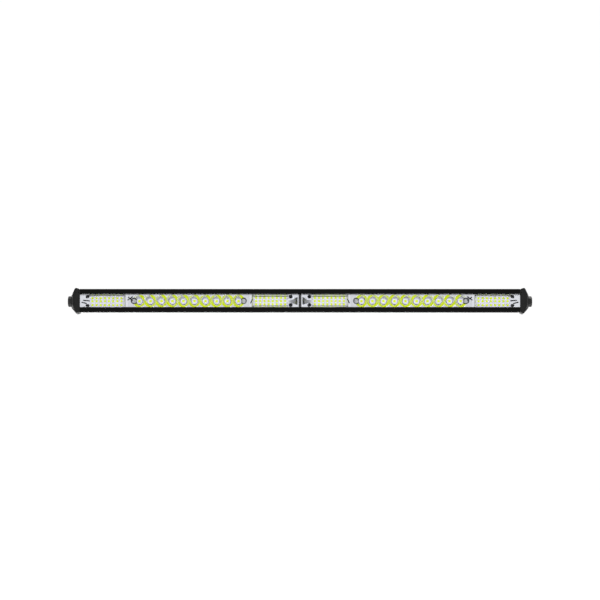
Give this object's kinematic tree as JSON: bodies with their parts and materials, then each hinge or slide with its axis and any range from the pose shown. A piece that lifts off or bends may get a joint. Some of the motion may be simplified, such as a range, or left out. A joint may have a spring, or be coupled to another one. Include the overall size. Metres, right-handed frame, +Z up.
{
  "type": "led light bar",
  "caption": "Slim straight LED light bar in black anodised aluminium, with flood and spot zones behind a clear window, and a hex bolt in each end cap for mounting.",
  "frame": {"origin": "middle of the bar, on the line through both end bolts", "axes": "+X along the bar, to the right as seen from the lit front, -Y the way the light shines, +Z up"},
  "size_m": [0.6502, 0.0416, 0.0352],
  "materials": {
    "housing_black": "satin",
    "cap_black": "matte",
    "gasket_black": "matte",
    "seal_black": "matte",
    "screw_black": "satin",
    "bolt_black": "satin",
    "washer_black": "satin",
    "lens_clear": "gloss",
    "divider_black": "satin",
    "reflector_silver": "polished",
    "reflector_screw_black": "satin",
    "board_white": "matte",
    "pad_grey": "matte",
    "flood_led_yellow": "satin",
    "spot_led_yellow": "satin",
    "connector_white": "satin",
    "wire_red": "satin",
    "wire_black": "satin",
    "driver_green": "satin",
    "inductor_black": "matte",
    "capacitor_silver": "satin",
    "chip_black": "matte",
    "gland_black": "satin",
    "gland_seal_black": "matte",
    "o_ring_black": "matte",
    "vent_black": "satin"
  },
  "bodies": {
    "bar": {"board_connector_left": "connector_white", "board_connector_right": "connector_white", "breather_o_ring": "o_ring_black", "breather_vent": "vent_black", "cable_gland_body": "gland_black", "cable_gland_nut": "gland_black", "cable_gland_o_ring": "o_ring_black", "cable_gland_seal": "gland_seal_black", "centre_divider": "divider_black", "driver_board": "driver_green", "driver_capacitor_1": "capacitor_silver", "driver_capacitor_2": "capacitor_silver", "driver_chip": "chip_black", "driver_header": "connector_white", "driver_inductor_1": "inductor_black", "driver_inductor_2": "inductor_black", "end_cap_left": "cap_black", "end_cap_right": "cap_black", "end_cap_screw_left_front_lower": "screw_black", "end_cap_screw_left_front_upper": "screw_black", "end_cap_screw_left_rear_lower": "screw_black", "end_cap_screw_left_rear_upper": "screw_black", "end_cap_screw_right_front_lower": "screw_black", "end_cap_screw_right_front_upper": "screw_black", "end_cap_screw_right_rear_lower": "screw_black", "end_cap_screw_right_rear_upper": "screw_black", "end_gasket_left": "gasket_black", "end_gasket_right": "gasket_black", "flood_leds_left_inner": "flood_led_yellow", "flood_leds_left_outer": "flood_led_yellow", "flood_leds_right_inner": "flood_led_yellow", "flood_leds_right_outer": "flood_led_yellow", "housing": "housing_black", "input_terminal": "connector_white", "jumper_lead_minus": "wire_black", "jumper_lead_plus": "wire_red", "led_board_left": "board_white", "led_board_right": "board_white", "lens_left": "lens_clear", "lens_right": "lens_clear", "lens_seal_lower": "seal_black", "lens_seal_upper": "seal_black", "reflector_left": "reflector_silver", "reflector_right": "reflector_silver", "reflector_screw_left_inner_lower": "reflector_screw_black", "reflector_screw_left_inner_upper": "reflector_screw_black", "reflector_screw_left_outer_lower": "reflector_screw_black", "reflector_screw_left_outer_upper": "reflector_screw_black", "reflector_screw_right_inner_lower": "reflector_screw_black", "reflector_screw_right_inner_upper": "reflector_screw_black", "reflector_screw_right_outer_lower": "reflector_screw_black", "reflector_screw_right_outer_upper": "reflector_screw_black", "spot_leds_left": "spot_led_yellow", "spot_leds_right": "spot_led_yellow", "thermal_pad_left": "pad_grey", "thermal_pad_right": "pad_grey"},
    "left_washer": {"spring_washer_left": "washer_black"},
    "left_bolt": {"mount_bolt_left": "bolt_black"},
    "right_washer": {"spring_washer_right": "washer_black"},
    "right_bolt": {"mount_bolt_right": "bolt_black"}
  },
  "joints": [
    {"name": "left_bolt_travel", "type": "slide", "parent": "bar", "child": "left_washer", "axis": [-1, 0, 0], "range_m": [0, 0.005]},
    {"name": "left_bolt_turn", "type": "hinge", "parent": "left_washer", "child": "left_bolt", "pos_m": [-0.32, 0, 0], "axis": [-1, 0, 0], "range_deg": [0, 1440]},
    {"name": "right_bolt_travel", "type": "slide", "parent": "bar", "child": "right_washer", "axis": [1, 0, 0], "range_m": [0, 0.005]},
    {"name": "right_bolt_turn", "type": "hinge", "parent": "right_washer", "child": "right_bolt", "pos_m": [0.32, 0, 0], "axis": [1, 0, 0], "range_deg": [0, 1440]}
  ],
  "couplings": [
    {"joint": "left_bolt_turn", "follows": "left_bolt_travel", "rad_per_m": 5026.5},
    {"joint": "right_bolt_turn", "follows": "right_bolt_travel", "rad_per_m": 5026.5}
  ]
}
